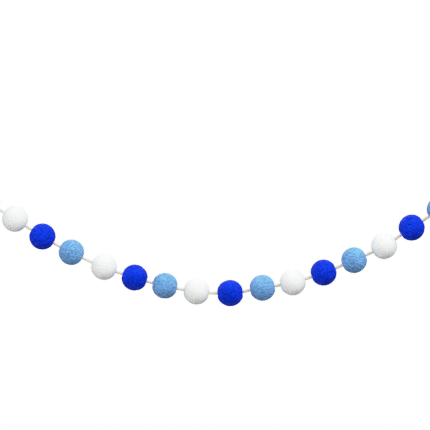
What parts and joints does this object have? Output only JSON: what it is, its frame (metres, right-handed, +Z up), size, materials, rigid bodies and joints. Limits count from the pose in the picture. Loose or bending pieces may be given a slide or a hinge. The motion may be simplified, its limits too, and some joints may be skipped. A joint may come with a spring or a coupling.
{
  "type": "felt ball garland",
  "caption": "Garland of wool felt balls in light blue, white and royal blue, threaded on a twisted off-white twine that hangs as a shallow swag between two tied end loops.",
  "frame": {"origin": "the point inside the left end loop that bears on its hook", "axes": "+X runs level from the left loop's hook to the right loop's hook, +Z up, and the front faces -Y"},
  "size_m": [0.5635, 0.0258, 0.1438],
  "materials": {
    "felt_light_blue": "matt needled wool felt, short fibres",
    "felt_white": "matt needled wool felt, short fibres",
    "felt_royal_blue": "matt needled wool felt, short fibres",
    "twine": "matt twisted cotton in three plies"
  },
  "bodies": {
    "root": {"string": "twine", "left_loop": "twine", "right_loop": "twine", "ball_01": "felt_light_blue", "ball_02": "felt_white", "ball_03": "felt_royal_blue", "ball_04": "felt_light_blue", "ball_05": "felt_white", "ball_06": "felt_royal_blue", "ball_07": "felt_light_blue", "ball_08": "felt_white", "ball_09": "felt_royal_blue", "ball_10": "felt_light_blue", "ball_11": "felt_white", "ball_12": "felt_royal_blue", "ball_13": "felt_light_blue", "ball_14": "felt_white", "ball_15": "felt_royal_blue", "ball_16": "felt_light_blue"}
  },
  "joints": []
}
